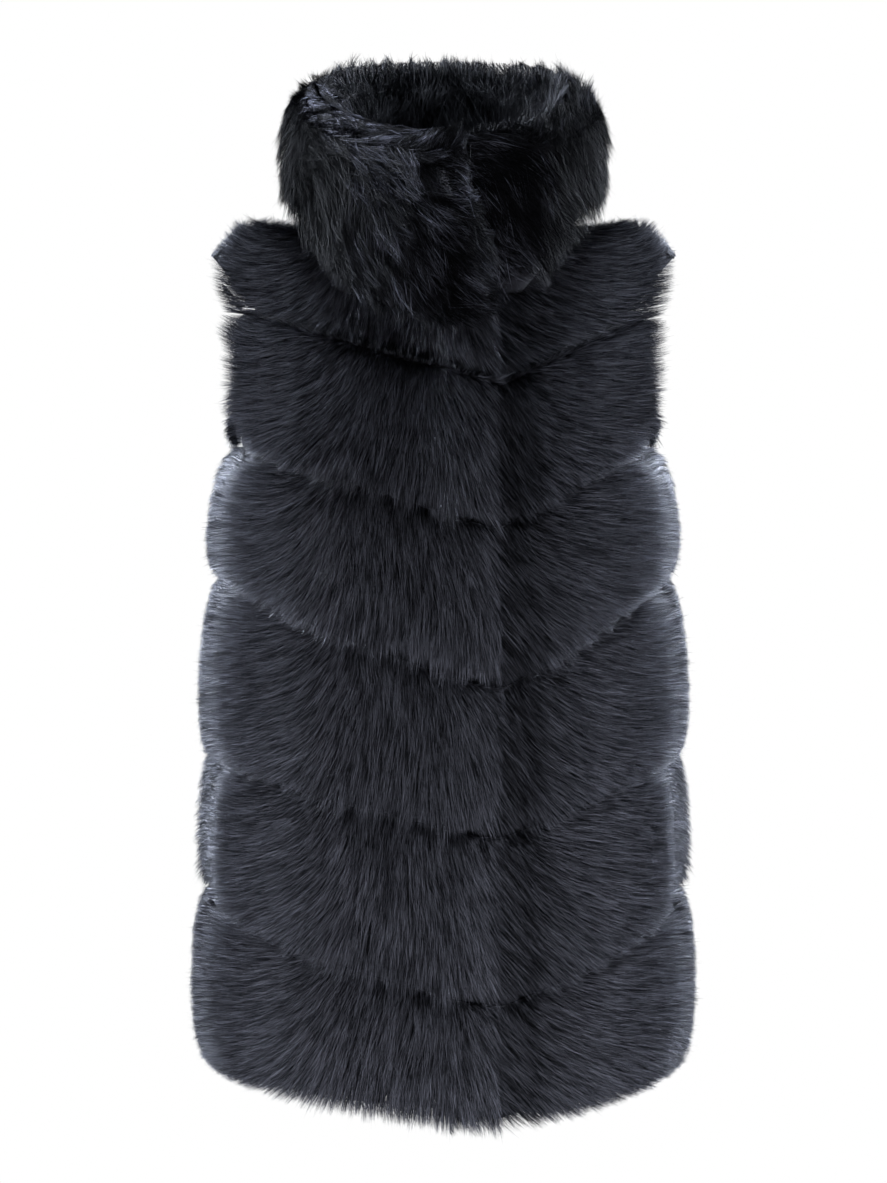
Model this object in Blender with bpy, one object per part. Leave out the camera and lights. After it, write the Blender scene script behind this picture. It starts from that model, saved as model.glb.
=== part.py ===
"""Shearling vest: a sleeveless fur gilet of six chevron tiers with a tall furred collar.

Each piece is one closed wall. Its inner side is the hide, and its outer side is where the fur ends, so a wall
is thick over the middle of a tier and thin along a seam. Sizes are in millimetres and meshes in metres. +Z is
up and the wearer faces -Y, which puts the wearer's left at +X. The origin lies midway between the neck points
of the two shoulder seams. Angles go round the body in degrees, from centre front towards the wearer's left.
"""

import functools
import math
from collections import namedtuple

import bmesh
import bpy
from mathutils import Vector

MM = 0.001
SEAM = 0.3  # gap between neighbouring pieces

# Cut of the body
SQUARENESS = 0.03  # how far a level section departs from an ellipse
SIDE_SEAM = 74.0
NECK_HALF = 92.0  # half the width between the neck points
SHOULDER_TIP = 166.0
SHOULDER_DROP = 20.0
FRONT_ROUND = 230.0  # height over which the front rounds over into the shoulder
BACK_ROUND = 150.0
BACK_NECK_RISE = 42.0  # how far the back's round runs on above the neck points
NECK_MEAN, NECK_TILT, NECK_DIP = -12.5, -33.0, -12.5  # heights of the neckline's three waves
NECK_DEPTH = 80.0  # about how far the neckline runs forward and back

# Armhole, an oval that leans forward at its foot
ARMHOLE_TOP, ARMHOLE_FOOT = -20.0, -198.0
ARMHOLE_FRONT_ANGLE, ARMHOLE_BACK_ANGLE = 23.0, 36.0  # half widths of the oval
UNDERARM_EASE = 1.0  # tier 3 is cut this much below the oval
ARMHOLE_TOP_ANGLE, ARMHOLE_FOOT_ANGLE = 90.0, SIDE_SEAM

# Front lap, where the wearer's right front lies over the left one
LAP_EDGE = 36.0  # the top hide ends here, and its fur a little further on
LAP_FUR = 10.0
UNDERLAP_EDGE = 5.0
LAP_LIFT = 9.5
LAP_RAMP_START = -28.0
UNDERLAP_FUR = 7.5  # fur pressed flat under the lap
UNDERLAP_RAMP = 26.0
CHEVRON_POINT = 42.0  # the chevrons come to their points along the lap's edge

# Fur
FUR = 28.0
HEM_FUR, HEM_REACH = 15.0, 22.0
ARMHOLE_FUR, ARMHOLE_RAMP = 0.85, 24.0
ARMHOLE_FRONT_REACH, ARMHOLE_BACK_REACH = 15.0, 7.0
UNDERARM_FADE = 0.35  # share of tier 2 over which the reach dies away towards the underarm
EDGE_FUR, EDGE_RAMP = 0.42, 34.0
POCKET_FUR, POCKET_RAMP = 0.4, 26.0
LOWER_RAMP, UPPER_RAMP = 0.34, 0.5  # shares of a tier over which its fur rises from each seam
NECK_EDGE_FUR = 0.8  # fur pressed flat under the collar, and how fast it rises from there
NECK_FRONT_SLOPE, NECK_SIDE_SLOPE, NECK_BACK_SLOPE = 0.24, 0.45, 0.4
COLLAR_SEAT = 2.4  # the collar's foot above the hide of the neckline

# Collar. Its top end is the wearer's right one, and turns are angles round the neck from centre front
COLLAR_TOP_END_FOOT, COLLAR_TOP_END_RIM = 23.0, 8.0  # the top end slants, and its rim corner is cut away
COLLAR_UNDER_END = 3.0 - 360.0
COLLAR_RIM_HALF, COLLAR_RIM_FRONT, COLLAR_RIM_BACK = 103.0, 98.0, 92.0
COLLAR_RIM_MEAN, COLLAR_RIM_TILT, COLLAR_RIM_DIP = 92.0, -30.0, -4.0  # heights of the rim's three waves
COLLAR_BULGE = 6.0
COLLAR_FUR, COLLAR_RIM_FUR, COLLAR_RIM_REACH = 31.0, 0.8, 20.0  # the fur of both sides meets over the rim
COLLAR_FOOT_SIDE, COLLAR_FOOT_END = 40.0, 32.0  # how far the fur stands out at the foot
COLLAR_RISE_SIDE, COLLAR_HANG_FRONT, COLLAR_HANG_BACK = 22.0, 28.0, 18.0  # its edge against the neck seam
COLLAR_END_FUR, COLLAR_END_RAMP = 0.45, 16.0  # the fur thins towards the top end, over this many degrees
FACING_FUR, FACING_BASE_FUR = 34.0, 12.0
FACING_FOOT = 0.03  # the facing starts this share of the way up, clear of the neck seam

# Where the collar's ends lap
TOP_LAP_START, TOP_LAP_RAMP = -40.0, 42.0
UNDER_LAP_START, UNDER_LAP_RAMP = 44.0 - 360.0, 20.0
COLLAR_LAP_LIFT = 10.0  # lift of the top end above that of the fronts
COLLAR_LAP_FUR = 7.0  # fur pressed flat between the ends
FACING_LAP_FUR = 5.5
COLLAR_BASE_FUR = 2.2

# Shares of the collar's height over which its fur changes, from the foot and from the rim
FOOT_SHARE, HANG_SHARE, LAP_SHARE, RIM_SHARE = 0.4, 0.5, 0.35, 0.42
FACING_FOOT_SHARE = 0.6

SIDE_COLUMNS, FRONT_COLUMNS, BACK_COLUMNS, COLLAR_COLUMNS = 5, 6, 10, 42
TIER_ROWS = (0.0, 0.06, 0.17, 0.34, 0.55, 0.74, 0.9, 1.0)
COLLAR_ROWS = (0.0, 0.1, 0.25, 0.45, 0.65, 0.83, 0.95, 1.0)
NECKLINE_STEPS = 240
NECK_CROWDING = 1.5  # columns lie closer together beside the neck points, where the neckline turns
SHOULDER_CROWDING = 1.8  # rows lie closer together towards the round of the shoulder
SETTLING_ROUNDS = 12
BISECTIONS = 30
SHARP_ANGLE = 50.0

Section = namedtuple("Section", "height half_width front_depth back_depth")
SECTIONS = (
    Section(height=70, half_width=166, front_depth=122, back_depth=110),
    Section(height=-20, half_width=166, front_depth=125, back_depth=114),
    Section(height=-110, half_width=166, front_depth=132, back_depth=120),
    Section(height=-190, half_width=165, front_depth=139, back_depth=121),
    Section(height=-255, half_width=171, front_depth=141, back_depth=118),
    Section(height=-380, half_width=178, front_depth=135, back_depth=115),
    Section(height=-510, half_width=182, front_depth=137, back_depth=124),
    Section(height=-630, half_width=185, front_depth=142, back_depth=132),
    Section(height=-740, half_width=187, front_depth=145, back_depth=136),
)

# A seam's height at the side, how far its chevron drops, how its line bends, and the fur along it
Line = namedtuple("Line", "side front_drop back_drop bend fur")
LINES = (
    Line(side=-64, front_drop=60, back_drop=46, bend=1.0, fur=16),
    Line(side=-176, front_drop=58, back_drop=56, bend=1.25, fur=12),
    Line(side=-279, front_drop=83, back_drop=64, bend=0.9, fur=12),
    Line(side=-427, front_drop=54, back_drop=58, bend=1.0, fur=16),
    Line(side=-540, front_drop=76, back_drop=62, bend=0.75, fur=16),
    Line(side=-653, front_drop=43, back_drop=36, bend=0.65, fur=HEM_FUR),
)
TIERS = len(LINES)
ARMHOLE_TIERS = 2  # the top tiers end at the armholes, and the others at the side seams
POCKET_TIER = 4

Coat = namedtuple("Coat", "name colour roughness")
BODY_COAT = Coat(name="body_fur", colour=(0.022, 0.024, 0.036, 1.0), roughness=0.62)
COLLAR_COAT = Coat(name="collar_fur", colour=(0.020, 0.022, 0.034, 1.0), roughness=0.62)
FACING_COAT = Coat(name="facing_fur", colour=(0.026, 0.028, 0.042, 1.0), roughness=0.65)


def mix(start, end, share):
    return start + (end - start) * share


def clamp(value):
    return min(1.0, max(0.0, value))


def smooth(value):
    share = clamp(value)
    return share * share * (3.0 - 2.0 * share)


def rounded(value):
    """A quarter circle from 0 to 1."""
    return math.sqrt(1.0 - (1.0 - clamp(value)) ** 2)


def section_at(height):
    """The body's half width and depths at a height, on a smooth curve through SECTIONS."""
    last = len(SECTIONS) - 1
    above = next((k for k in range(last) if height > SECTIONS[k + 1].height), last - 1)
    rows = [SECTIONS[min(last, max(0, above + k))] for k in (-1, 0, 1, 2)]
    span = rows[2].height - rows[1].height
    share = (height - rows[1].height) / span
    values = []
    for column in range(1, len(Section._fields)):
        before, start, end, after = (row[column] for row in rows)
        slope_in = span * (end - before) / (rows[2].height - rows[0].height)
        slope_out = span * (after - start) / (rows[3].height - rows[1].height)
        bend_in = share * (1.0 - share) ** 2 * slope_in
        bend_out = share * share * (1.0 - share) * slope_out
        values.append(mix(start, end, smooth(share)) + bend_in - bend_out)
    return values


def across(angle):
    turn = math.radians(angle)
    return (math.sin(turn) + SQUARENESS * math.sin(3.0 * turn)) / (1.0 - SQUARENESS)


def along(angle):
    turn = math.radians(angle)
    return (math.cos(turn) - SQUARENESS * math.cos(3.0 * turn)) / (1.0 - SQUARENESS)


def angle_at(share):
    """The angle, up to 90 degrees either way, at which across() gives this share."""
    turn = math.asin(share)
    for _ in range(SETTLING_ROUNDS):
        turn = math.asin(share * (1.0 - SQUARENESS) - SQUARENESS * math.sin(3.0 * turn))
    return math.degrees(turn)


def shoulder_height(x, is_front):
    """Where the front or the back meets the plane of the shoulder seam."""
    if abs(x) >= NECK_HALF:
        return -SHOULDER_DROP * (abs(x) - NECK_HALF) / (SHOULDER_TIP - NECK_HALF)
    return 0.0 if is_front else BACK_NECK_RISE * math.sqrt(1.0 - (x / NECK_HALF) ** 2)


def hide_point(angle, height):
    half_width, front_depth, back_depth = section_at(height)
    is_front = along(angle) >= 0.0
    depth, rounding = (front_depth, FRONT_ROUND) if is_front else (back_depth, BACK_ROUND)
    x = half_width * across(angle)
    below = max(0.0, shoulder_height(x, is_front) - height)
    y = depth * along(angle) * rounded(below / rounding) + SEAM / 2.0 * (1 if is_front else -1)
    return Vector((x, -y, height))


def hide_normal(angle, height):
    """The outward direction. It leans on a short step down, because the shoulder seam has no hide above it."""
    round_step = hide_point(angle + 0.2, height) - hide_point(angle - 0.2, height)
    down_step = hide_point(angle, height - 0.1) - hide_point(angle, height)
    return down_step.cross(round_step).normalized()


def neckline_height(turn):
    wave = math.radians(turn)
    return NECK_MEAN + NECK_TILT * math.cos(wave) + NECK_DIP * math.cos(2.0 * wave)


def neckline_at(x, is_front):
    turn = math.degrees(math.asin(max(-1.0, min(1.0, x / NECK_HALF))))
    return neckline_height(turn if is_front else 180.0 - turn)


def neckline_place(turn):
    """The body's angle and height at a point of the neckline. The turn is an angle round the neck."""
    height = neckline_height(turn)
    is_front = math.cos(math.radians(turn)) >= 0.0
    x = NECK_HALF * math.sin(math.radians(turn))
    angle = angle_at(x / section_at(height)[0])
    return (angle if is_front else 180.0 - angle), height


NECKLINE = [hide_point(*neckline_place(360.0 * k / NECKLINE_STEPS)) for k in range(NECKLINE_STEPS)]


def armhole_edge(height, way):
    """The angle of the armhole's edge: way is -1 on the front and 1 on the back."""
    middle, half = (ARMHOLE_TOP + ARMHOLE_FOOT) / 2.0, (ARMHOLE_TOP - ARMHOLE_FOOT) / 2.0
    share = (height - middle) / half
    widest = ARMHOLE_FRONT_ANGLE if way < 0 else ARMHOLE_BACK_ANGLE
    spread = widest * math.sqrt(max(0.0, 1.0 - share * share))
    return mix(ARMHOLE_FOOT_ANGLE, ARMHOLE_TOP_ANGLE, clamp((share + 1.0) / 2.0)) + way * spread


def armhole_floor(angle):
    """The height of the armhole's lower edge at an angle, or infinity where there is no armhole."""
    way = -1 if angle < ARMHOLE_FOOT_ANGLE else 1
    low, high = ARMHOLE_FOOT, (ARMHOLE_TOP + ARMHOLE_FOOT) / 2.0
    if (angle - armhole_edge(high, way)) * way > 0.0:
        return math.inf
    for _ in range(BISECTIONS):
        middle = (low + high) / 2.0
        if (armhole_edge(middle, way) - angle) * way > 0.0:
            high = middle
        else:
            low = middle
    return low


def line_height(line, x, half_width, is_front, own):
    """The height of a seam or hem at x. own is -1 on the right front, 1 on the left front and 0 on the back."""
    if is_front:
        point = own * CHEVRON_POINT
        share = clamp((half_width - own * x) / (half_width - point))
        return line.side - line.front_drop * share**line.bend
    return line.side - line.back_drop * clamp(1.0 - abs(x) / half_width)


def tier_top(tier, x, half_width, angle, is_front, own):
    if tier == 0:
        on_shoulder = abs(x) >= NECK_HALF - 1e-6
        return shoulder_height(x, is_front) if on_shoulder else neckline_at(x, is_front)
    height = line_height(LINES[tier - 1], x, half_width, is_front, own)
    return min(height, armhole_floor(angle) - UNDERARM_EASE) if tier == ARMHOLE_TIERS else height


def tier_height(tier, x, half_width, angle, is_front, own, share):
    """The height at a share of the way up a tier."""
    low = line_height(LINES[tier], x, half_width, is_front, own) + SEAM / 2.0
    high = tier_top(tier, x, half_width, angle, is_front, own)
    if tier == 0:
        return mix(low, high, 1.0 - (1.0 - share) ** SHOULDER_CROWDING)
    return mix(low, high - SEAM / 2.0, share)


def tier_fur(tier, share):
    """How deep the fur stands at a share of the way up a tier."""
    below = LINES[tier].fur
    above = LINES[tier - 1].fur if tier else FUR
    rise = mix(below, FUR, rounded(share / LOWER_RAMP))
    fall = mix(above, FUR, rounded((1.0 - share) / UPPER_RAMP))
    return min(rise, fall)


def under_collar(point):
    """The most fur that the collar leaves room for at a point of the top tier."""
    away = min((point - place).length for place in NECKLINE)
    ahead, end_slope = (-point.y, NECK_FRONT_SLOPE) if point.y < 0.0 else (point.y, NECK_BACK_SLOPE)
    return NECK_EDGE_FUR + away * mix(NECK_SIDE_SLOPE, end_slope, clamp(ahead / NECK_DEPTH))


def edge_share(tier, gap):
    """How much of the fur stands at this distance from the armhole or the side seam."""
    if tier < ARMHOLE_TIERS:
        return mix(ARMHOLE_FUR, 1.0, rounded(gap / ARMHOLE_RAMP))
    if tier == POCKET_TIER:
        return mix(POCKET_FUR, 1.0, rounded(gap / POCKET_RAMP))
    return 1.0


def settle(column_angle, tier, is_front, own, share):
    """The angle and height of a grid point. Both depend on each other, so they are worked out in turns."""
    height = LINES[tier].side
    for _ in range(SETTLING_ROUNDS):
        angle = column_angle(height)
        half_width = section_at(height)[0]
        x = half_width * across(angle)
        body_angle = abs(angle) if abs(angle) <= 180.0 else 360.0 - abs(angle)
        height = tier_height(tier, x, half_width, body_angle, is_front, own, share)
    return angle, height


@functools.lru_cache(maxsize=None)
def armhole_column(tier, is_front, own, share):
    """The angle of the armhole's edge at a row of tiers 1 and 2, or of its lowest corner for the tiers below."""
    way, turn = (-1, own) if is_front else (1, 1)
    if tier >= ARMHOLE_TIERS:
        tier, share = ARMHOLE_TIERS - 1, 0.0
    angle, _ = settle(lambda height: turn * armhole_edge(height, way), tier, is_front, own, share)
    return abs(angle)


def side_column(tier, is_front, own, share, column, neck):
    """The angle of a column between the side and the neck's column, and how far the tier's edge is from it.

    Below the armhole one more column runs along the side seam, so that all the others match across the seams.
    """
    start = armhole_column(tier, is_front, own, share)
    way = -1 if is_front else 1
    if tier < ARMHOLE_TIERS:
        angle, edge = mix(start, neck, column / SIDE_COLUMNS), start
    else:
        edge = SIDE_SEAM + way * math.degrees(SEAM / 2.0 / SHOULDER_TIP)
        angle = mix(start, neck, (column - 1) / SIDE_COLUMNS) if column else edge
    return angle, math.radians(abs(angle - edge)) * SHOULDER_TIP


def side_columns(tier):
    return SIDE_COLUMNS if tier < ARMHOLE_TIERS else SIDE_COLUMNS + 1


def reach_of(tier, row_share, gap, own, armhole_reach):
    """How far the fur runs on past the hide's edges, at the hem and round the armholes."""
    reach = Vector((0.0, 0.0, 0.0))
    if tier == TIERS - 1:
        reach.z -= HEM_REACH * (1.0 - row_share) ** 3
    if tier < ARMHOLE_TIERS:
        fade = smooth(row_share / UNDERARM_FADE) if tier else 1.0 - row_share
        reach.x += own * fade * armhole_reach * clamp(1.0 - gap / (2.0 * ARMHOLE_RAMP)) ** 2
    return reach


def lap_lift(x):
    return LAP_LIFT * smooth((x - LAP_RAMP_START) / (UNDERLAP_EDGE - LAP_RAMP_START))


def front_point(own, tier, column, share):
    """The hide point of a front panel and the fur's end over it."""
    neck = angle_at(NECK_HALF / SHOULDER_TIP)
    outer_columns = side_columns(tier)
    gap = math.inf
    if column <= outer_columns:
        side_angle, gap = side_column(tier, True, own, share, column, neck)

    def column_angle(height):
        if column <= outer_columns:
            return own * side_angle
        edge = angle_at((UNDERLAP_EDGE if own > 0 else -LAP_EDGE) / section_at(height)[0])
        return own * mix(neck, edge, ((column - outer_columns) / FRONT_COLUMNS) ** NECK_CROWDING)

    angle, height = settle(column_angle, tier, True, own, share)
    base, normal = hide_point(angle, height), hide_normal(angle, height)
    fur = tier_fur(tier, share) * edge_share(tier, gap)
    room = under_collar(base) if tier == 0 else math.inf
    reach = reach_of(tier, share, gap, own, ARMHOLE_FRONT_REACH)
    if own < 0:
        base = base + normal * lap_lift(base.x)
        to_edge = clamp((LAP_EDGE - base.x) / EDGE_RAMP)
        fur *= mix(EDGE_FUR, 1.0, rounded(to_edge))
        reach.x += LAP_FUR * (1.0 - to_edge) ** 2
    else:
        clear = smooth((base.x - LAP_EDGE - LAP_FUR) / UNDERLAP_RAMP)
        fur = min(fur, mix(UNDERLAP_FUR, FUR, clear))
    return base, base + normal * min(fur, room) + reach


def back_point(tier, column, share):
    """The hide point of the back panel, from the wearer's left to the wearer's right, and the fur's end."""
    neck = 180.0 - angle_at(NECK_HALF / SHOULDER_TIP)
    outer_columns = side_columns(tier)
    last = 2 * outer_columns + BACK_COLUMNS
    from_end = min(column, last - column)
    own = 1 if column <= last / 2 else -1
    gap = math.inf
    if from_end <= outer_columns:
        angle, gap = side_column(tier, False, 0, share, from_end, neck)
    else:
        angle = mix(neck, 180.0, (2.0 * (from_end - outer_columns) / BACK_COLUMNS) ** NECK_CROWDING)
    turned = angle if own > 0 else 360.0 - angle
    _, height = settle(lambda _: turned, tier, False, 0, share)
    base, normal = hide_point(turned, height), hide_normal(turned, height)
    fur = tier_fur(tier, share) * edge_share(tier, gap)
    if tier == 0:
        fur = min(fur, under_collar(base))
    return base, base + normal * fur + reach_of(tier, share, gap, own, ARMHOLE_BACK_REACH)


def collar_top_end(share):
    return mix(COLLAR_TOP_END_FOOT, COLLAR_TOP_END_RIM, smooth(share))


def collar_turn(column, share):
    """The turn of a column, from the top end past centre front, round the back, to the under end."""
    return mix(collar_top_end(share), COLLAR_UNDER_END, column / COLLAR_COLUMNS)


def collar_lap(turn):
    """How far a place is in the lap, on the top end and on the under end."""
    return smooth((turn - TOP_LAP_START) / TOP_LAP_RAMP), smooth((UNDER_LAP_START - turn) / UNDER_LAP_RAMP)


def outward(turn):
    return Vector((math.sin(math.radians(turn)), -math.cos(math.radians(turn)), 0.0))


def over_rim(fur, share):
    """The fur as it rounds over the rim, and how far it has risen there."""
    near = clamp((share - 1.0 + RIM_SHARE) / RIM_SHARE)
    return mix(COLLAR_RIM_FUR, fur, math.sqrt(1.0 - near * near)), COLLAR_RIM_REACH * near


def collar_hide(turn, share):
    """A point of the collar's hide at a share of the way from the neck seam to the rim."""
    wave = math.radians(turn)
    depth = COLLAR_RIM_FRONT if math.cos(wave) >= 0.0 else COLLAR_RIM_BACK
    rim_height = COLLAR_RIM_MEAN + COLLAR_RIM_TILT * math.cos(wave) + COLLAR_RIM_DIP * math.cos(2.0 * wave)
    rim = Vector((COLLAR_RIM_HALF * math.sin(wave), -depth * math.cos(wave), rim_height))
    on_top, _ = collar_lap(turn)
    base = hide_point(*neckline_place(turn))
    normal = hide_normal(*neckline_place(turn))
    seat = normal * (COLLAR_SEAT + (lap_lift(base.x) if turn > -90.0 else 0.0))
    lift = on_top * COLLAR_LAP_LIFT * smooth(share / LAP_SHARE)
    bulge = COLLAR_BULGE * 4.0 * share * (1.0 - share)
    return base.lerp(rim, share) + seat + outward(turn) * (bulge + lift)


def collar_foot(turn):
    """How far the collar's fur stands out at its foot, and how far it hangs below the neck seam."""
    ahead = math.cos(math.radians(turn))
    hang = COLLAR_HANG_FRONT if ahead > 0.0 else COLLAR_HANG_BACK
    return mix(COLLAR_FOOT_SIDE, COLLAR_FOOT_END, ahead**2), mix(-COLLAR_RISE_SIDE, hang, ahead**2)


def collar_point(turn, share):
    """The collar's hide and the end of its outer fur."""
    _, under = collar_lap(turn)
    base = collar_hide(turn, share) + outward(turn) * SEAM / 2.0
    out, hang = collar_foot(turn)
    body = COLLAR_FUR * mix(COLLAR_END_FUR, 1.0, rounded((collar_top_end(share) - turn) / COLLAR_END_RAMP))
    fur, rise = over_rim(mix(out, body, smooth(share / FOOT_SHARE)), share)
    pressed = min(fur, mix(COLLAR_BASE_FUR, COLLAR_LAP_FUR, smooth(share / LAP_SHARE)))
    drop = hang * (1.0 - clamp(share / HANG_SHARE)) ** 1.5 * (1.0 - under)
    return base, base + outward(turn) * mix(fur, pressed, under) + Vector((0.0, 0.0, rise - drop))


def facing_point(turn, share):
    """The back of the facing's hide and the end of its fur inside the neck."""
    on_top, _ = collar_lap(turn)
    share = max(FACING_FOOT, share)
    base = collar_hide(turn, share) - outward(turn) * SEAM / 2.0
    fur, rise = over_rim(mix(FACING_BASE_FUR, FACING_FUR, smooth(share / FACING_FOOT_SHARE)), share)
    pressed = min(fur, mix(COLLAR_BASE_FUR, FACING_LAP_FUR, smooth(share / LAP_SHARE)))
    return base, base - outward(turn) * mix(fur, pressed, on_top) + Vector((0.0, 0.0, rise))


def coat_material(coat):
    material = bpy.data.materials.get(coat.name) or bpy.data.materials.new(coat.name)
    material.use_nodes = True
    shader = material.node_tree.nodes["Principled BSDF"]
    shader.inputs["Base Color"].default_value = coat.colour
    shader.inputs["Roughness"].default_value = coat.roughness
    shader.inputs["Metallic"].default_value = 0.0
    return material


def border(rows, columns):
    """The grid's outer ring of places, in order."""
    ring = [(0, c) for c in range(columns)]
    ring += [(r, columns - 1) for r in range(1, rows)]
    ring += [(rows - 1, c) for c in range(columns - 2, -1, -1)]
    return ring + [(r, 0) for r in range(rows - 2, 0, -1)]


def add_wall(name, grid, coat, parent):
    """A closed wall from a grid of pairs: a point on the hide and the point where the fur over it ends.

    The strips along its edges are cut the same way in each piece, so that neighbours stay parallel.
    """
    rows, columns = len(grid), len(grid[0])
    shape = bmesh.new()
    inner = [[shape.verts.new(pair[0] * MM) for pair in row] for row in grid]
    outer = [[shape.verts.new(pair[1] * MM) for pair in row] for row in grid]
    for row in range(rows - 1):
        for column in range(columns - 1):
            corners = ((row, column), (row, column + 1), (row + 1, column + 1), (row + 1, column))
            shape.faces.new([outer[r][c] for r, c in corners])
            shape.faces.new([inner[r][c] for r, c in reversed(corners)])
    ring = border(rows, columns)
    for ends in zip(ring, ring[1:] + ring[:1]):
        (r, c), (next_r, next_c) = sorted(ends)
        shape.faces.new((inner[r][c], inner[next_r][next_c], outer[next_r][next_c]))
        shape.faces.new((inner[r][c], outer[next_r][next_c], outer[r][c]))
    bmesh.ops.recalc_face_normals(shape, faces=shape.faces)
    mesh = bpy.data.meshes.new(name)
    shape.to_mesh(mesh)
    shape.free()
    mesh.materials.append(coat_material(coat))
    mesh.shade_smooth()
    mesh.set_sharp_from_angle(angle=math.radians(SHARP_ANGLE))
    wall = bpy.data.objects.new(name, mesh)
    wall.parent = parent
    bpy.context.scene.collection.objects.link(wall)


def add_fronts(parent):
    for side, own in (("right", -1), ("left", 1)):
        for tier in range(TIERS):
            columns = range(side_columns(tier) + FRONT_COLUMNS + 1)
            grid = [[front_point(own, tier, c, share) for c in columns] for share in TIER_ROWS]
            add_wall(f"front_{side}_tier_{tier + 1}", grid, BODY_COAT, parent)


def add_back(parent):
    for tier in range(TIERS):
        columns = range(2 * side_columns(tier) + BACK_COLUMNS + 1)
        grid = [[back_point(tier, c, share) for c in columns] for share in TIER_ROWS]
        add_wall(f"back_tier_{tier + 1}", grid, BODY_COAT, parent)


def add_collar(parent):
    for name, place, coat in (
        ("collar_outer", collar_point, COLLAR_COAT),
        ("collar_facing", facing_point, FACING_COAT),
    ):
        columns = range(COLLAR_COLUMNS + 1)
        grid = [[place(collar_turn(c, share), share) for c in columns] for share in COLLAR_ROWS]
        add_wall(name, grid, coat, parent)


def main():
    for thing in list(bpy.data.objects):
        bpy.data.objects.remove(thing)
    vest = bpy.data.objects.new("shearling_vest", None)
    bpy.context.scene.collection.objects.link(vest)
    add_fronts(vest)
    add_back(vest)
    add_collar(vest)


main()
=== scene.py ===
"""Looks of the shearling vest: its hides, its long fur, the studio light and the camera.

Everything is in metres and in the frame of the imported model. Each packed wall runs from the hide to where
the fur ends. So a hair has its tip on a wall's fur side, or a little past it. Its root is halfway down
towards the hide, further up its line of flow. A thin shell on the hide, with its underfur, closes the wall
below the roots.
"""

import math
from collections import namedtuple

import bpy
import numpy as np
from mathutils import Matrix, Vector
from mathutils.bvhtree import BVHTree
from mathutils.kdtree import KDTree


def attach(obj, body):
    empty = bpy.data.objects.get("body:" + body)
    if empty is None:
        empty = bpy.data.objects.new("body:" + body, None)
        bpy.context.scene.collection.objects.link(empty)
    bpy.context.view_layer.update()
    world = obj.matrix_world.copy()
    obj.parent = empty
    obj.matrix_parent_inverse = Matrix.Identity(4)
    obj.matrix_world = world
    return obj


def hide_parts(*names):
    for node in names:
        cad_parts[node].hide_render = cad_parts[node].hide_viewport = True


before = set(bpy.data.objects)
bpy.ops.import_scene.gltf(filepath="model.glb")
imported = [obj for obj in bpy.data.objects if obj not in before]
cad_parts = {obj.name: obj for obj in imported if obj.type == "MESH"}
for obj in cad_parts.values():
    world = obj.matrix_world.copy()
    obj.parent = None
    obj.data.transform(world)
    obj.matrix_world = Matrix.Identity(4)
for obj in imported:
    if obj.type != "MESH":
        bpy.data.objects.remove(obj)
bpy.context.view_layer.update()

MM = 0.001
UP = np.array((0.0, 0.0, 1.0))
SEED = 20
TINY = 1e-12  # keeps a division by a length from failing
WELD_DIGITS = 6  # points that agree to this many decimals of a metre are one

# Shape of the body that the walls stand round
HALF_WIDTH, HALF_DEPTH = 178 * MM, 130 * MM
SHOULDER_CENTRE = -170 * MM  # the shoulders round over from about this height
SHOULDER_SPREAD = 0.4

# Telling the sides of a wall apart, by how far a face looks the way out of the body
FUR_FACING, EDGE_FACING = 0.55, -0.3
HIDE_FACING, SHOULDER_HIDE_FACING = -0.86, -0.8
LEAST_NORMAL = 0.5  # a point with no fur face has a normal shorter than this
EDGE_CLEARANCE = 8 * MM  # fur grows on the edge of a wall that has this much room
JUST_OFF = 0.05 * MM
SEAM_STEP, SEAM_GAP = 5 * MM, 4.5 * MM  # an edge is a seam if, a step past it, another wall is this near
HEM_BELOW, HEM_FACING = -640 * MM, -0.5  # below this height, an edge that looks down is the hem
RIM_FACING, LOWER_FACING = 0.3, -0.3  # a rim looks up further than this, and a lower edge down

# Hides. A thin coat of underfur covers each one, and hairs are modelled from halfway up the fur
UNDERFUR, MOST_UNDERFUR = 0.15, 4 * MM
COLLAR_UNDERFUR, MOST_COLLAR_UNDERFUR = 0.45, 13 * MM
ROOTS, MOST_ROOTS = 0.5, 15 * MM
SET_BACK, SIDE_SET_BACK = 16 * MM, 5 * MM  # a hide stops short of a free edge that looks down, and of others
COLLAR_SET_BACK = 22 * MM
SET_BACK_REACH = 3.0  # as many times the set-back, from the edge
COLLAR_LOWER = -0.3  # an edge of the collar that looks down further than this is left where it is

# Fur. Body hairs are fine and lie flat. The collar's are longer, and gather in locks
FurStyle = namedtuple(
    "FurStyle",
    "density length width bends lock_hairs lock_tone pull reach"
    " lock_turn hair_turn swirl waves bow roll stray rim_crowd",
)
BODY_STYLE = FurStyle(
    density=1.05 / MM**2,
    length=31 * MM,
    width=0.5 * MM,
    bends=False,
    lock_hairs=30,
    lock_tone=0.15,  # share of a hair's tone that it has from its lock
    pull=0.1,  # how far the tips of a lock gather to its middle
    reach=(-2.5 * MM, 2.5 * MM),  # how far the locks end past the fur side
    lock_turn=3,  # spreads of the way that locks and hairs lie, in degrees
    hair_turn=5,
    swirl=6,  # turn of the slow waves in the fur, in degrees
    waves=(60 * MM, 180 * MM),
    bow=0.0,  # rise of a bent hair's middle, as a share of its length
    roll=90,  # most that a ribbon rolls about its line, in degrees
    stray=0.04,  # share of hairs that stand out
    rim_crowd=1.0,  # as many times denser where the surface looks up
)
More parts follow.
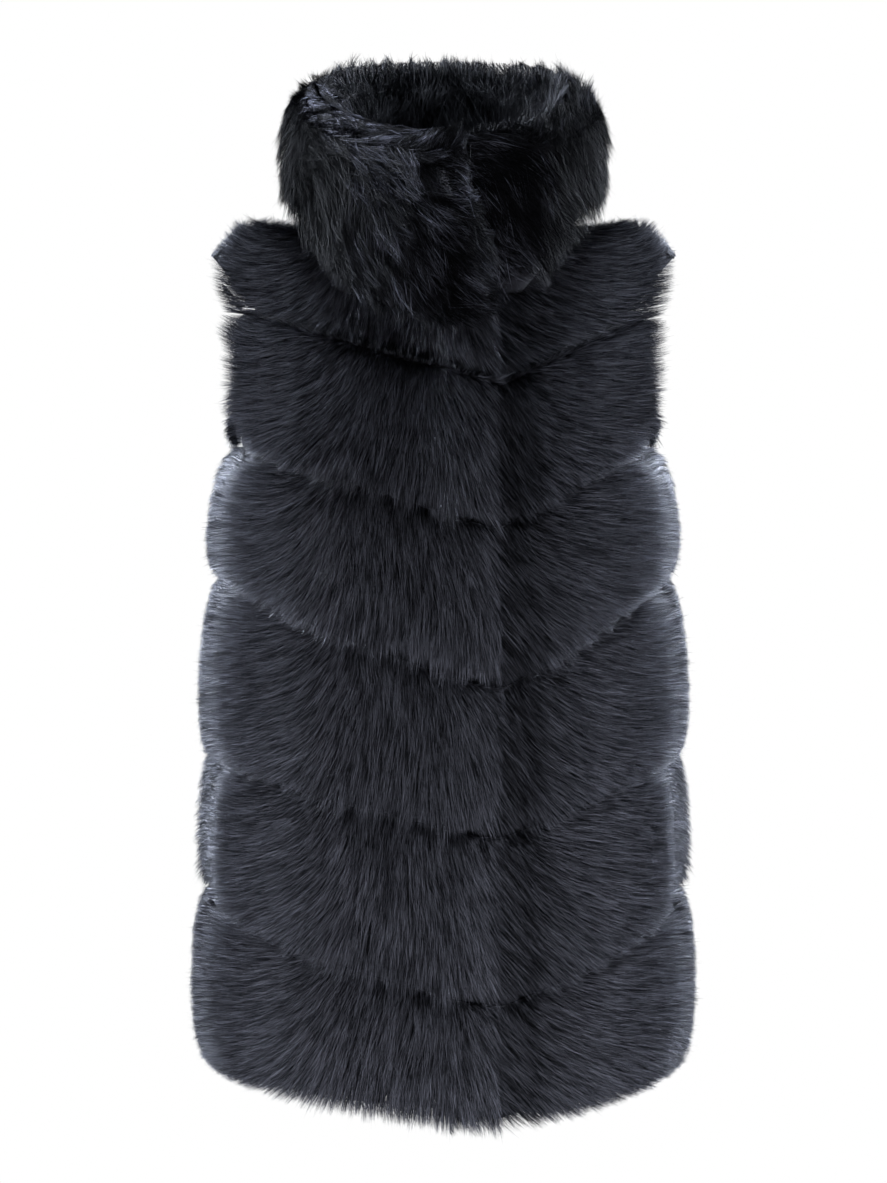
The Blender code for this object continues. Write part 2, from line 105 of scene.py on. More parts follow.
COLLAR_STYLE = FurStyle(
    density=0.46 / MM**2,
    length=36 * MM,
    width=0.36 * MM,
    bends=True,
    lock_hairs=60,
    lock_tone=0.4,
    pull=0.2,
    reach=(-5 * MM, 6 * MM),
    lock_turn=8,
    hair_turn=16,
    swirl=22,
    waves=(40 * MM, 110 * MM),
    bow=0.1,
    roll=60,
    stray=0.08,
    rim_crowd=2.5,
)
BACK_STYLE = BODY_STYLE._replace(density=0.55 / MM**2, width=0.75 * MM)
FACING_STYLE = COLLAR_STYLE._replace(density=0.38 / MM**2)
LENGTH_SPREAD, LENGTH_LIMITS = 0.18, (0.5, 1.4)
SHORTEST_LIE = 0.35  # the least that a hair runs along the surface, as a share of its length
SHORTEST_SHARE, LEAST_SLANT = 0.15, 0.2  # of that, where an edge cuts it short
PULL_SPREAD, MOST_PULL = 0.1, 0.9
STRAY_REACH = 6 * MM
OVERHANG, OVERHANG_RANGE = 22 * MM, 30 * MM  # hair reaches further where a seam is just ahead
FREE_OVERHANG = 4 * MM  # and where a free edge is
OVERHANG_SHARE = (0.1, 1.0)
SEAM_LIFT = 7 * MM  # fur stands off further beside a seam, but not at the sides, where the seams are notches
EDGE_AHEAD = 0.2
LOWER_CROWD = 2.2  # hair is this much denser at a lower edge
SWIRL_WAVES = 7

# Ribbons, as places across and along the map of tones and the corners of their triangles
THINNEST, THICKEST = 0.65, 1.5  # light hairs are thicker
TONE_MAP = "OFBake"
UV_WIDTH = 1 / 256
ROOT_V, MIDDLE_V, TIP_V = 0.02, 0.5, 0.98
Ribbon = namedtuple("Ribbon", "places corners")
STRAIGHT = Ribbon(
    places=((0.0, ROOT_V), (1.0, ROOT_V), (0.5, TIP_V)),
    corners=(0, 1, 2),
)
BENT = Ribbon(
    places=((0.0, ROOT_V), (1.0, ROOT_V), (0.0, MIDDLE_V), (1.0, MIDDLE_V), (0.5, TIP_V)),
    corners=(0, 1, 3, 0, 3, 2, 2, 3, 4),
)

# How far the fur turns from straight down, in degrees, anticlockwise as seen from above
FRONT_TURNS = {  # by x, in mm
    "front_right": ((-178, -88), (-140, -62), (-100, -25), (-70, -8), (-32, 0), (15, 8), (46, 24)),
    "front_left": ((46, 36), (100, 58), (178, 88)),
}
BACK_TURNS = ((90, 80), (112, 0), (140, -35), (180, 0))  # by angle from the front, mirrored on the right side
RING_TURNS = {  # by angle from the front, and clockwise on the facing, which looks inward
    "collar": ((-180, 8), (-90, 18), (-20, 45), (20, 55), (40, 48), (70, 0), (110, -20), (180, 8)),
    "facing": ((-180, 0), (-60, -25), (60, 25), (180, 0)),
}

# The collar's rim
RIM_ALONG = ((-180, 0), (-125, 0), (-95, 1), (-15, 1), (15, 0), (180, 0))  # share along it, by angle
RIM_START, RIM_RANGE = 0.25, 0.4  # by how far a surface looks up
RIM_REACH = 13 * MM  # how far past the rim its standing hairs go
RIM_LEAN = 2.0  # how far its hairs lean in and out

# Painted shade and light: how light the fur is, as a share of its full tone, where it lies in shade or
# catches light
# Painted shade in the left front's hair beside the lap, darkest at the right front's edge
LAP_PAINTED_SHADE = ((46, 0.85), (70, 0.9), (90, 1.0))  # by x, in mm
# Painted shade on the collar's sides and back, and on the facing, darkest at its back
RING_PAINTED_SHADE = {  # by angle from the front
    "collar": (
        (-180, 0.65), (-120, 0.5), (-48, 0.5), (-32, 0.8),
        (38, 0.85), (52, 0.5), (120, 0.5), (180, 0.65),
    ),
    "facing": (
        (-180, 0.5), (-125, 0.5), (-95, 1.0), (-50, 1.0), (0, 0.8),
        (60, 1.0), (100, 0.8), (125, 0.5), (180, 0.5),
    ),
}
# Painted light and shade on the collar's rim: full tone at its front-left, less elsewhere, by angle
RIM_PAINTED_LIGHT_AND_SHADE = ((-180, 0.7), (-100, 0.75), (-75, 1.0), (-10, 1.0), (12, 0.75), (180, 0.7))

# Materials. Tones go from the darkest hair to the lightest, and root shades from root to tip: the darker
# roots are partly the hair's own colour and partly painted shade deep in the fur
WHITE = (1.0, 1.0, 1.0)
Hair = namedtuple("Hair", "tones roughness specular")
BODY_TONES = (
    (0.0, (0.001, 0.001, 0.0011)),
    (0.55, (0.0022, 0.0023, 0.0026)),
    (1.0, (0.116, 0.121, 0.154)),
)
COLLAR_TONES = (
    (0.0, (0.001, 0.001, 0.0011)),
    (0.55, (0.0028, 0.0029, 0.0034)),
    (1.0, (0.150, 0.156, 0.205)),
)
HAIRS = {
    "body_fur": Hair(BODY_TONES, roughness=0.4, specular=0.16),
    "collar_fur": Hair(COLLAR_TONES, roughness=0.5, specular=0.02),
    "facing_fur": Hair(COLLAR_TONES, roughness=0.5, specular=0.1),
}
# Darker towards the root: partly the hair's own colour, partly painted shade deep in the fur
ROOT_TONE_AND_PAINTED_SHADE = ((0.0, 0.3), (0.4, 0.7), (0.85, 1.0))
SHINE_TINT = (0.72, 0.78, 1.0)
Mottle = namedtuple("Mottle", "dark light scale roughness bump")
UNDERFUR_MOTTLE = Mottle((0.002, 0.002, 0.004), (0.005, 0.0055, 0.009), scale=260.0, roughness=0.9, bump=0.6)
SUEDE_MOTTLE = Mottle((0.016, 0.017, 0.024), (0.030, 0.032, 0.044), scale=420.0, roughness=0.85, bump=0.35)
MOTTLE_STOPS, MOTTLE_DETAIL = (0.3, 0.7), 6.0
DULL_SPECULAR = 0.2
Coat = namedtuple("Coat", "fur underfur suede")

# Camera, floor and light
PHOTO_HEIGHT = 1183  # in pixels
PIXEL = 0.82 * MM
PHOTO_CENTRE = Vector((0.0, 0.0, -294.5 * MM))
DISTANCE, ELEVATION = 4.0, math.radians(5)
SENSOR = 36.0  # in mm, as the lens is
CLIP_END = 50.0
FLOOR_HEIGHT, FLOOR_SIZE = -1.25, 3.4
FLOOR_COLOUR, FLOOR_ROUGHNESS = (0.86, 0.86, 0.86), 0.9
WORLD_TINT, WORLD_STRENGTH = (0.92, 0.95, 1.0), 0.04
CHEST, HEM = (0.0, 0.0, -0.15), (0.0, 0.0, -0.66)
COOL = (0.86, 0.92, 1.0)
Light = namedtuple("Light", "name place target size power colour spread")
LIGHTS = (
    Light("left_box", (-1.7, 0.55, 0.4), CHEST, (0.8, 1.0), 24.0, COOL, 36),
    Light("right_box", (1.7, 0.55, 0.4), CHEST, (0.8, 1.0), 24.0, COOL, 36),
    Light("top_box", (0.0, 0.35, 2.0), CHEST, (1.6, 0.9), 105.0, COOL, 180),
    Light("low_fill", (0.0, -2.0, -1.1), HEM, (1.0, 0.5), 13.0, WHITE, 60),
    Light("back_box", (0.0, 2.4, 0.6), PHOTO_CENTRE, (2.0, 1.6), 16.0, WHITE, 180),
)

TIERS = range(1, 7)
Panel = namedtuple("Panel", "name nodes coat style")
PANELS = (
    Panel("front_right", [f"front_right_tier_{n}" for n in TIERS], "body_fur", BODY_STYLE),
    Panel("front_left", [f"front_left_tier_{n}" for n in TIERS], "body_fur", BODY_STYLE),
    Panel("back", [f"back_tier_{n}" for n in TIERS], "body_fur", BACK_STYLE),
    Panel("collar", ["collar_outer"], "collar_fur", COLLAR_STYLE),
    Panel("facing", ["collar_facing"], "facing_fur", FACING_STYLE),
)

Wall = namedtuple("Wall", "points faces areas is_hide is_fur fur_normals edge shell roots depths")
Edge = namedtuple("Edge", "points outward is_free")
Locks = namedtuple("Locks", "middles number")


# Vectors and searching

def unit(vectors):
    return vectors / np.maximum(np.linalg.norm(vectors, axis=-1, keepdims=True), TINY)


def dot(a, b):
    return np.sum(a * b, axis=-1, keepdims=True)


def tangent(vectors, normals):
    return unit(vectors - normals * dot(vectors, normals))


def read_table(table, values):
    """Values of a two-column table, with straight lines between its rows."""
    keys, results = zip(*table)
    return np.interp(values, keys, results)


def angle_round(places):
    """Degrees round the body from the front, towards the wearer's left."""
    return np.degrees(np.arctan2(places[:, 0], -places[:, 1]))


def nearest_point(targets, places):
    """For each place, the number of the nearest target and its distance."""
    finder = KDTree(len(targets))
    for number, target in enumerate(targets.tolist()):
        finder.insert(target, number)
    finder.balance()
    found = [finder.find(place)[1:] for place in places.tolist()]
    return np.array([number for number, _ in found]), np.array([distance for _, distance in found])


def tree_of(meshes):
    """One search tree over several (points, faces) meshes."""
    points, faces, start = [], [], 0
    for some_points, some_faces in meshes:
        points.append(some_points)
        faces.append(some_faces + start)
        start += len(some_points)
    return BVHTree.FromPolygons(np.concatenate(points).tolist(), np.concatenate(faces).tolist())


def nearest(tree, places):
    return np.array([tree.find_nearest(place)[0] for place in places.tolist()])


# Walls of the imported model

def on_collar(node):
    return node.startswith("collar")


def on_shoulder(node):
    return node.endswith("tier_1")


def welded(node):
    """The points and triangles of a packed wall, with the points that coincide made one."""
    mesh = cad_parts[node].data
    mesh.calc_loop_triangles()
    points = np.empty(len(mesh.vertices) * 3, np.float32)
    mesh.vertices.foreach_get("co", points)
    faces = np.empty(len(mesh.loop_triangles) * 3, np.int32)
    mesh.loop_triangles.foreach_get("vertices", faces)
    points, index = np.unique(points.reshape(-1, 3).round(WELD_DIGITS), axis=0, return_inverse=True)
    return points.astype(float), index.reshape(-1)[faces].reshape(-1, 3)


def way_out(places, node):
    """Roughly the way out of the body, or out of the collar's ring. For the facing it is the way in."""
    out = places.copy()
    if on_shoulder(node):
        out[:, 0] *= SHOULDER_SPREAD
        out[:, 2] -= SHOULDER_CENTRE
    else:
        out[:, 2] = 0.0
        if not on_collar(node):
            out[:, :2] /= (HALF_WIDTH**2, HALF_DEPTH**2)
    return unit(-out if node == "collar_facing" else out)


def point_normals(points, faces, normals, areas):
    total = np.zeros_like(points)
    for corner in range(3):
        np.add.at(total, faces[:, corner], normals * areas[:, None])
    return unit(total)


def is_clear(solids, place, direction):
    """Whether nothing of the vest is close to a place on its surface, in a direction away from it."""
    return solids.ray_cast(Vector(place + direction * JUST_OFF), Vector(direction), EDGE_CLEARANCE)[0] is None


def tell_sides(node, middles, normals, whole):
    """Which faces of a wall are its outer side, which are its hide, and which carry fur."""
    facing = dot(normals, way_out(middles, node))[:, 0]
    is_outer = facing > FUR_FACING
    is_hide = facing < (SHOULDER_HIDE_FACING if on_shoulder(node) else HIDE_FACING)
    is_fur = is_outer.copy()
    for face in np.flatnonzero((facing > EDGE_FACING) & ~is_outer):
        is_fur[face] = is_clear(whole, middles[face], normals[face])
    return is_outer, is_hide, is_fur


def find_edge(points, faces, normals, others):
    """The points where one side of a wall ends, the way out past them, and whether no other wall is there."""
    sides = np.concatenate([faces[:, pair] for pair in ([0, 1], [1, 2], [2, 0])])
    _, index, counts = np.unique(np.sort(sides, axis=1), axis=0, return_inverse=True, return_counts=True)
    alone = counts[index.reshape(-1)] == 1
    ends = sides[alone]
    across = np.cross(points[ends[:, 1]] - points[ends[:, 0]], np.tile(normals, (3, 1))[alone])
    outward = np.zeros_like(points)
    for end in range(2):
        np.add.at(outward, ends[:, end], across)
    ends = np.unique(ends)
    outward = unit(outward[ends])
    ahead = points[ends] + outward * SEAM_STEP
    is_alone = [others.find_nearest(place, SEAM_GAP)[0] is None for place in ahead.tolist()]
    is_hem = (points[ends, 2] < HEM_BELOW) & (outward[:, 2] < HEM_FACING)
    return Edge(points[ends], outward, np.array(is_alone) | is_hem)


def draw_in(points, hide_faces, share, most):
    """A wall's points with its fur side drawn in towards the hide, to a share of its height."""
    below = nearest(tree_of([(points, hide_faces)]), points)
    rise = (points - below) * share
    height = np.linalg.norm(rise, axis=1, keepdims=True)
    return below + rise * np.minimum(1.0, most / np.maximum(height, TINY))


def set_back(points, edge, amounts):
    """How far each point moves back from the free edges near it, by an amount for each point of the edge."""
    if not edge.is_free.any():
        return np.zeros_like(points)
    number, distance = nearest_point(edge.points[edge.is_free], points)
    amount = amounts[edge.is_free][number]
    share = np.clip(1.0 - distance / (SET_BACK_REACH * amount), 0.0, 1.0)
    return edge.outward[edge.is_free][number] * (amount * share)[:, None]


def thin_shell(node, points, hide_faces, hide_edge):
    """A wall's points drawn in to its underfur, and back from its free edges, where only hair shows."""
    if on_collar(node):
        is_lower = hide_edge.outward[:, 2] <= COLLAR_LOWER
        hide_edge = hide_edge._replace(is_free=hide_edge.is_free & ~is_lower)
        amounts = np.full(len(hide_edge.points), COLLAR_SET_BACK)
        shell = draw_in(points, hide_faces, COLLAR_UNDERFUR, MOST_COLLAR_UNDERFUR)
    else:
        amounts = np.where(hide_edge.outward[:, 2] < HEM_FACING, SET_BACK, SIDE_SET_BACK)
        shell = draw_in(points, hide_faces, UNDERFUR, MOST_UNDERFUR)
    return shell - set_back(points, hide_edge, amounts)


def read_wall(node, solid, whole, others):
    """A packed wall with its sides told apart, its thin shell and the surface of its roots."""
    points, faces = solid
    corners = points[faces]
    cross = np.cross(corners[:, 1] - corners[:, 0], corners[:, 2] - corners[:, 0])
    normals = unit(cross)
    areas = np.linalg.norm(cross, axis=1) / 2.0
    is_outer, is_hide, is_fur = tell_sides(node, corners.mean(axis=1), normals, whole)
    shown = is_outer
    if on_collar(node):
        shown = is_outer | (is_fur & (normals[:, 2] > RIM_FACING))
    fur_normals = point_normals(points, faces[shown], normals[shown], areas[shown])
    bare = np.linalg.norm(fur_normals, axis=1) < LEAST_NORMAL
    fur_normals[bare] = way_out(points[bare], node)
    edge = find_edge(points, faces[shown], normals[shown], others)
    hide_edge = find_edge(points, faces[is_hide], normals[is_hide], others)
    shell = thin_shell(node, points, faces[is_hide], hide_edge)
    roots = draw_in(points, faces[is_hide], ROOTS, MOST_ROOTS)
    depths = np.linalg.norm(points - roots, axis=1)
    return Wall(points, faces, areas, is_hide, is_fur, fur_normals, edge, shell, roots, depths)


# Hides with their underfur

def linked(name, data):
    piece = bpy.data.objects.new(name, data)
    bpy.context.scene.collection.objects.link(piece)
    return piece


def new_object(name, points, faces, materials):
    mesh = bpy.data.meshes.new(name)
    mesh.from_pydata(points.tolist(), [], faces.tolist())
    for material in materials:
        mesh.materials.append(material)
    return linked(name, mesh)


def add_hide(node, wall, coat):
    """A hide and its underfur, as one thin shell."""
    piece = new_object(f"{node}_hide", wall.shell, wall.faces, (coat.underfur, coat.suede))
    piece.data.polygons.foreach_set("material_index", wall.is_hide.astype(np.int32))
    piece.data.shade_smooth()
    return piece


# The way the fur lies

def swirl(places, lengths, rng):
    """A slow random wave over the body, mostly from -1 to 1."""
    total = np.zeros(len(places))
    for _ in range(SWIRL_WAVES):
        length = rng.uniform(*lengths)
        direction = unit(rng.normal(size=3))
        total += np.sin(places @ direction * (2.0 * math.pi / length) + rng.uniform(0.0, 2.0 * math.pi))
    return total / math.sqrt(SWIRL_WAVES)


def turns(places, panel):
    """How far the fur turns from straight down, in radians."""
    angle = angle_round(places)
    if panel.name == "back":
        return np.radians(np.sign(angle) * read_table(BACK_TURNS, np.abs(angle)))
    if panel.name in RING_TURNS:
        return np.radians(read_table(RING_TURNS[panel.name], angle))
    return np.radians(read_table(FRONT_TURNS[panel.name], places[:, 0] / MM))


def rim_share(normals):
    """How far a place belongs to the collar's rim, from 0 to 1."""
    return np.clip((normals[:, 2] - RIM_START) / RIM_RANGE, 0.0, 1.0)


def painted_shading(places, normals, panel):
    """How light the fur is, as a share of its full tone: painted shade beside the lap and on the collar and
    facing, and painted light on the collar's rim.
    """
    if panel.name == "front_left":
        # Painted shade beside the lap
        return read_table(LAP_PAINTED_SHADE, places[:, 0] / MM)
    if panel.name not in RING_PAINTED_SHADE:
        return np.ones(len(places))
    angle = angle_round(places)
    # Painted shade on the collar and the facing, by angle
    painted_wall_shade = read_table(RING_PAINTED_SHADE[panel.name], angle)
    # Painted light and shade on the rim, where the surface looks up
    return painted_wall_shade + (read_table(RIM_PAINTED_LIGHT_AND_SHADE, angle) - painted_wall_shade) * rim_share(normals)


def flow(places, normals, panel, extra_turn):
    """The way the fur lies along the surface. On the collar's rim it stands up, or runs along it."""
    down = tangent(np.broadcast_to(-UP, normals.shape), normals)
    turn = (turns(places, panel) + extra_turn)[:, None]
    lie = down * np.cos(turn) + unit(np.cross(UP, normals)) * np.sin(turn)
    if panel.name not in RING_TURNS:
        return lie
    rim = rim_share(normals)[:, None]
    along = read_table(RIM_ALONG, angle_round(places))[:, None]
    outward = unit(places * (1.0, 1.0, 0.0))
    lean = outward * np.sin(RIM_LEAN * extra_turn)[:, None]
    return unit(lie * (1.0 - rim) + (np.cross(UP, outward) * along + UP * (1.0 - along) + lean) * rim)


# Hairs

def sample(wall, count, rim_crowd, rng):
    """Random places on a fur side, crowded at the rim and the lower edge, with normals and depths."""
    faces = wall.faces[wall.is_fur]
    rise = wall.fur_normals[faces].mean(axis=1)[:, 2]
    weights = wall.areas[wall.is_fur] * np.where(rise > RIM_FACING, rim_crowd, 1.0)
    weights *= np.where(rise < LOWER_FACING, LOWER_CROWD, 1.0)
    chosen = faces[rng.choice(len(faces), count, p=weights / weights.sum())]
    shares = rng.dirichlet((1.0, 1.0, 1.0), count)[:, :, None]
    places = (wall.points[chosen] * shares).sum(axis=1)
    depths = (wall.depths[chosen] * shares[:, :, 0]).sum(axis=1)[:, None]
    return places, unit((wall.fur_normals[chosen] * shares).sum(axis=1)), depths


def gather_locks(tips, lock_hairs, rng):
    """The middles of locks, chosen among the tips, and for each hair the number of its lock."""
    middles = tips[rng.choice(len(tips), len(tips) // lock_hairs, replace=False)]
    number, _ = nearest_point(middles, tips)
    return Locks(middles, number)


def hair_lie(tips, normals, locks, panel, rng):
    """The flow at each hair, turned by its lock, by the hair itself and by a slow swirl."""
    style = panel.style
    lock_turn = rng.normal(0.0, math.radians(style.lock_turn), len(locks.middles))[locks.number]
    hair_turn = rng.normal(0.0, math.radians(style.hair_turn), len(tips))
    slow_turn = math.radians(style.swirl) * swirl(tips, style.waves, rng)
    return flow(tips, normals, panel, lock_turn + hair_turn + slow_turn)


def find_roots(wall, below, normals, lie, along):
    """Roots up the line of flow, and no further than the edge that the fur grows from."""
    rooted = tree_of([(wall.roots, wall.faces[wall.is_fur])])
    past = below - lie * along - nearest(rooted, below - lie * along)
    past -= normals * dot(past, normals)
    excess = np.linalg.norm(past, axis=1, keepdims=True)
    slant = np.clip(-dot(lie, unit(past)), LEAST_SLANT, 1.0)
    share = np.clip(1.0 - excess / (slant * along), SHORTEST_SHARE, 1.0)
    return nearest(rooted, below - lie * along * share)


def at_edges(tips, lie, edge):
    """How much further a hair reaches at an edge ahead of it, and its lift beside a seam, from 0 to 1."""
    number, distance = nearest_point(edge.points, tips)
    is_free = edge.is_free[number]
    nearness = np.clip(1.0 - distance / OVERHANG_RANGE, 0.0, 1.0)
    ahead = dot(unit(edge.points[number] - tips), lie)[:, 0] > EDGE_AHEAD
    in_front = np.clip(1.0 - (tips[:, 0] / HALF_WIDTH) ** 2, 0.0, 1.0)
    further = np.where(is_free, FREE_OVERHANG, OVERHANG) * nearness * ahead
    further = further * np.clip(-lie[:, 2], 0.0, 1.0)
    return further[:, None], (nearness * ~is_free * in_front)[:, None]


def hair_reach(lie, further, locks, style, rng):
    """How far each hair goes past the fur side: with its lock, over an edge, astray and up from the rim."""
    column = (len(lie), 1)
    reach = rng.uniform(*style.reach, len(locks.middles))[locks.number][:, None]
    reach = reach + further * rng.uniform(*OVERHANG_SHARE, column)
    reach += STRAY_REACH * rng.random(column) * (rng.random(column) < style.stray)
    standing = RIM_REACH * np.clip(lie[:, 2:], 0.0, 1.0)
    return reach + standing * rng.random((len(locks.middles), 1))[locks.number] * rng.random(column)


def hair_tones(locks, lock_tone, rng):
    """A random tone for each hair, partly shared by its lock."""
    shared = rng.random(len(locks.middles))[locks.number]
    own = rng.random(len(locks.number))
    return lock_tone * shared + (1.0 - lock_tone) * own


def hair_paths(wall, panel, rng):
    """The roots and tips of a wall's hairs, the surface's normals there, and the hairs' tones with painted
    shade in them.
    """
    style = panel.style
    count = int(wall.areas[wall.is_fur].sum() * style.density)
    tips, normals, depths = sample(wall, count, style.rim_crowd, rng)
    locks = gather_locks(tips, style.lock_hairs, rng)
    lie = hair_lie(tips, normals, locks, panel, rng)
    length = style.length * rng.normal(1.0, LENGTH_SPREAD, (count, 1)).clip(*LENGTH_LIMITS)
    along = np.sqrt(np.maximum(length**2 - depths**2, (SHORTEST_LIE * length) ** 2))
    roots = find_roots(wall, tips - normals * depths, normals, lie, along)
    further, lift = at_edges(tips, lie, wall.edge)
    reach = hair_reach(lie, further, locks, style, rng)
    pull = rng.normal(style.pull, PULL_SPREAD, len(locks.middles)).clip(0.0, MOST_PULL)
    gathered = (locks.middles[locks.number] - tips) * pull[locks.number][:, None]
    tips = tips + gathered + normals * SEAM_LIFT * lift
    tips = tips + unit(tips - roots) * reach
    tone = hair_tones(locks, style.lock_tone, rng)
    # Each hair's tone is darkened by the painted shade of its place
    return roots, tips, normals, tone * painted_shading(tips, normals, panel)


def ribbon_points(roots, tips, normals, tone, style, rng):
    """Each hair's points: two at its root, two halfway if it bends, and its tip."""
    line = tips - roots
    flat = unit(np.cross(line, normals))
    roll = rng.uniform(-1.0, 1.0, (len(roots), 1)) * math.radians(style.roll)
    half = (flat * np.cos(roll) + np.cross(unit(line), flat) * np.sin(roll)) * style.width / 2.0
    half *= (THINNEST + (THICKEST - THINNEST) * tone)[:, None]
    if not style.bends:
        return np.stack((roots - half, roots + half, tips), axis=1)
    bow = normals * style.bow * np.linalg.norm(line, axis=1, keepdims=True)
    middles = (roots + tips) / 2.0 + bow
    return np.stack((roots - half, roots + half, middles - half, middles + half, tips), axis=1)


def ribbon_mesh(name, points, corners):
    """A mesh of many like ribbons, and the number of the point at each corner of its triangles."""
    count, size = points.shape[:2]
    used = (np.arange(count)[:, None] * size + np.array(corners)).reshape(-1)
    mesh = bpy.data.meshes.new(name)
    mesh.vertices.add(count * size)
    mesh.vertices.foreach_set("co", points.astype(np.float32).reshape(-1))
    mesh.loops.add(len(used))
    mesh.loops.foreach_set("vertex_index", used.astype(np.int32))
    mesh.polygons.add(len(used) // 3)
    mesh.polygons.foreach_set("loop_start", np.arange(0, len(used), 3, dtype=np.int32))
    return mesh, used


def add_tone_map(mesh, used, places, tone):
    """A map that has the hairs' tones across it, painted shade included, and runs from root to tip."""
    uv = np.empty((len(tone), len(places), 2), np.float32)
    uv[:] = np.array(places) * (UV_WIDTH, 1.0)
    uv[:, :, 0] += (tone * (1.0 - UV_WIDTH))[:, None]
    layer = mesh.uv_layers.new(name=TONE_MAP)
    layer.uv.foreach_set("vector", uv.reshape(-1, 2)[used].reshape(-1))


def add_fur(node, wall, panel, coat, rng):
    """All hairs of one wall as narrow ribbons that taper to their tips."""
    ribbon = BENT if panel.style.bends else STRAIGHT
    roots, tips, normals, tone = hair_paths(wall, panel, rng)
    points = ribbon_points(roots, tips, normals, tone, panel.style, rng)
    mesh, used = ribbon_mesh(f"{node}_fur", points, ribbon.corners)
    add_tone_map(mesh, used, ribbon.places, tone)
    mesh.update(calc_edges=True)
    mesh.materials.append(coat.fur)
    return linked(f"{node}_fur", mesh)


# Materials

def shader_of(name, roughness, specular):
    material = bpy.data.materials.new(name)
    material.use_nodes = True
    shader = material.node_tree.nodes["Principled BSDF"]
    shader.inputs["Roughness"].default_value = roughness
    shader.inputs["Specular IOR Level"].default_value = specular
    return material, material.node_tree, shader


def ramp(tree, source, stops):
    node = tree.nodes.new("ShaderNodeValToRGB")
    elements = node.color_ramp.elements
    while len(elements) < len(stops):
        elements.new(0.5)
    for element, (position, colour) in zip(elements, stops):
        element.position = position
        element.color = (*colour, 1.0)
    tree.links.new(source, node.inputs["Fac"])
    return node.outputs["Color"]


def multiplied(tree, first, second):
    node = tree.nodes.new("ShaderNodeMix")
    node.data_type = "RGBA"
    node.blend_type = "MULTIPLY"
    node.inputs["Factor"].default_value = 1.0
    tree.links.new(first, node.inputs["A"])
    tree.links.new(second, node.inputs["B"])
    return node.outputs["Result"]


def fur_material(name, hair):
    """Hair colour by its tone across the map, which carries painted shade, and by root and tip along it,
    darker at the root partly as painted shade.
    """
    material, tree, shader = shader_of(name, hair.roughness, hair.specular)
    shader.inputs["Specular Tint"].default_value = (*SHINE_TINT, 1.0)
    place = tree.nodes.new("ShaderNodeUVMap")
    place.uv_map = TONE_MAP
    split = tree.nodes.new("ShaderNodeSeparateXYZ")
    tree.links.new(place.outputs["UV"], split.inputs["Vector"])
    tone = ramp(tree, split.outputs["X"], hair.tones)
    # Root darkening, partly painted shade
    shade = ramp(tree, split.outputs["Y"], [(along, (light,) * 3) for along, light in ROOT_TONE_AND_PAINTED_SHADE])
    tree.links.new(multiplied(tree, tone, shade), shader.inputs["Base Color"])
    return material


def mottled_material(name, mottle):
    """A soft mottled surface: underfur, or the suede side of a hide."""
    material, tree, shader = shader_of(name, mottle.roughness, DULL_SPECULAR)
    place = tree.nodes.new("ShaderNodeTexCoord")
    noise = tree.nodes.new("ShaderNodeTexNoise")
    noise.inputs["Scale"].default_value = mottle.scale
    noise.inputs["Detail"].default_value = MOTTLE_DETAIL
    tree.links.new(place.outputs["Object"], noise.inputs["Vector"])
    colour = ramp(tree, noise.outputs["Fac"], list(zip(MOTTLE_STOPS, (mottle.dark, mottle.light))))
    tree.links.new(colour, shader.inputs["Base Color"])
    relief = tree.nodes.new("ShaderNodeBump")
    relief.inputs["Strength"].default_value = mottle.bump
    relief.inputs["Distance"].default_value = MM
    tree.links.new(noise.outputs["Fac"], relief.inputs["Height"])
    tree.links.new(relief.outputs["Normal"], shader.inputs["Normal"])
    return material


def make_coats():
    underfur = mottled_material("underfur", UNDERFUR_MOTTLE)
    suede = mottled_material("suede", SUEDE_MOTTLE)
    return {slot: Coat(fur_material(f"{slot}_hair", hair), underfur, suede) for slot, hair in HAIRS.items()}


# Light, floor and camera

def looking(direction):
    """The rotation of a light or camera that looks in a direction."""
    return direction.to_track_quat("-Z", "Y").to_euler()


def add_light(row):
    light = bpy.data.lights.new(row.name, "AREA")
    light.color = row.colour
    light.shape = "RECTANGLE"
    light.size, light.size_y = row.size
    light.energy = row.power
    light.spread = math.radians(row.spread)
    lamp = linked(row.name, light)
    lamp.location = row.place
    lamp.rotation_euler = looking(Vector(row.target) - Vector(row.place))


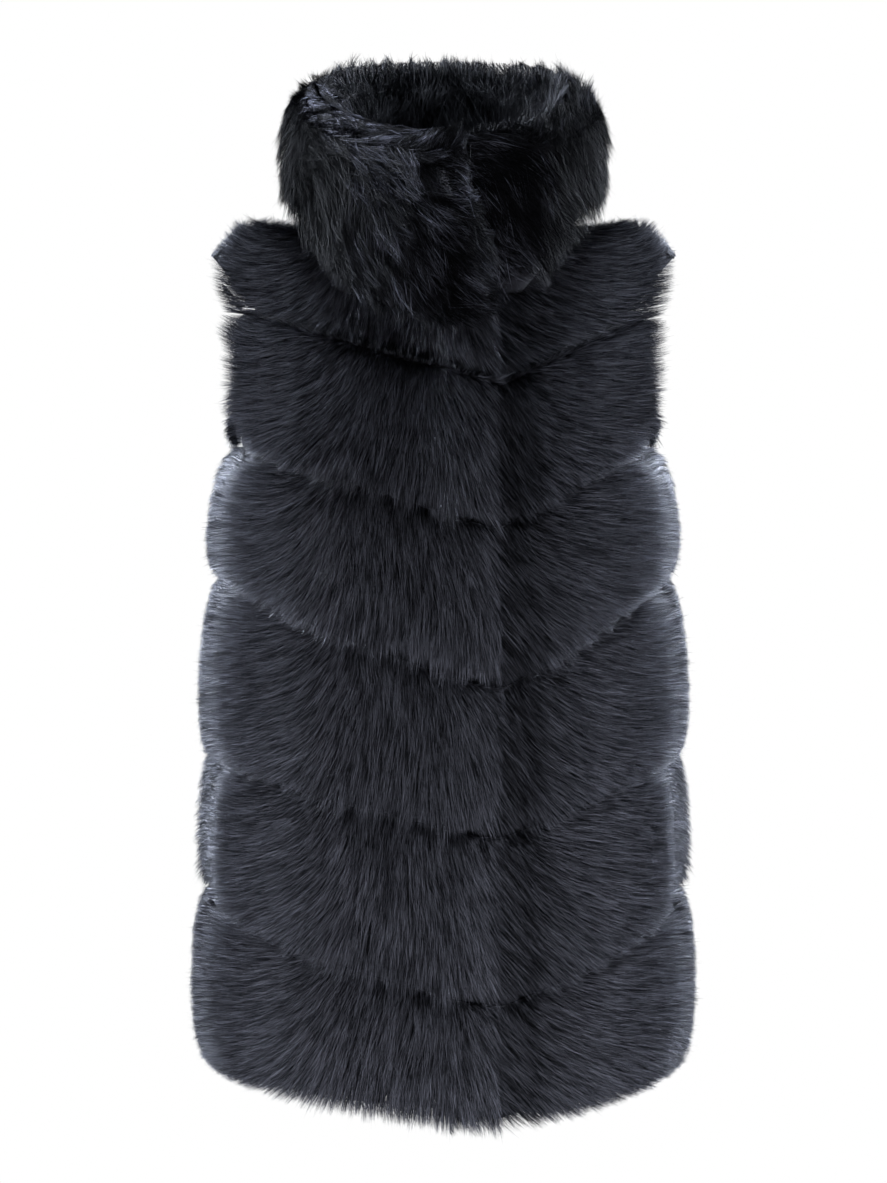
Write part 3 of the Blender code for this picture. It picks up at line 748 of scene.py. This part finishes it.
def add_world():
    """White behind the object, and a weaker even light on it."""
    world = bpy.data.worlds.new("studio")
    world.use_nodes = True
    tree = world.node_tree
    tree.nodes.clear()
    seen = tree.nodes.new("ShaderNodeBackground")
    seen.inputs["Color"].default_value = (*WHITE, 1.0)
    lit = tree.nodes.new("ShaderNodeBackground")
    lit.inputs["Color"].default_value = (*WORLD_TINT, 1.0)
    lit.inputs["Strength"].default_value = WORLD_STRENGTH
    path = tree.nodes.new("ShaderNodeLightPath")
    choose = tree.nodes.new("ShaderNodeMixShader")
    out = tree.nodes.new("ShaderNodeOutputWorld")
    tree.links.new(path.outputs["Is Camera Ray"], choose.inputs[0])
    tree.links.new(lit.outputs[0], choose.inputs[1])
    tree.links.new(seen.outputs[0], choose.inputs[2])
    tree.links.new(choose.outputs[0], out.inputs["Surface"])
    bpy.context.scene.world = world


def add_floor():
    material, _, shader = shader_of("floor", FLOOR_ROUGHNESS, DULL_SPECULAR)
    shader.inputs["Base Color"].default_value = (*FLOOR_COLOUR, 1.0)
    half = FLOOR_SIZE / 2.0
    corners = ((-half, -half), (half, -half), (half, half), (-half, half))
    points = np.array([(x, y, FLOOR_HEIGHT) for x, y in corners])
    new_object("floor", points, np.array([(0, 1, 2, 3)]), (material,))


def add_camera():
    camera = bpy.data.cameras.new("camera")
    camera.sensor_fit = "VERTICAL"
    camera.sensor_height = SENSOR
    camera.lens = SENSOR * DISTANCE / (PHOTO_HEIGHT * PIXEL)
    camera.clip_end = CLIP_END
    stand = linked("camera", camera)
    away = Vector((0.0, -math.cos(ELEVATION), math.sin(ELEVATION)))
    stand.location = PHOTO_CENTRE + away * DISTANCE
    stand.rotation_euler = looking(-away)
    bpy.context.scene.camera = stand
    bpy.context.scene.view_settings.view_transform = "Standard"


# The vest

def read_walls():
    """Every packed wall by its node. The two collar walls don't count as each other's neighbours."""
    solids = {node: welded(node) for panel in PANELS for node in panel.nodes}
    whole = tree_of(solids.values())
    walls = {}
    for node, solid in solids.items():
        others = [name for name in solids if name != node]
        if on_collar(node):
            others = [name for name in others if not on_collar(name)]
        walls[node] = read_wall(node, solid, whole, tree_of([solids[name] for name in others]))
    return walls


def add_vest():
    walls = read_walls()
    coats = make_coats()
    rng = np.random.default_rng(SEED)
    for panel in PANELS:
        coat = coats[panel.coat]
        for node in panel.nodes:
            wall = walls[node]
            skin = add_hide(node, wall, coat)
            fur = add_fur(node, wall, panel, coat, rng)
            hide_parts(node)
            for piece in (skin, fur):
                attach(piece, "root")


add_camera()
add_world()
add_floor()
for row in LIGHTS:
    add_light(row)
add_vest()
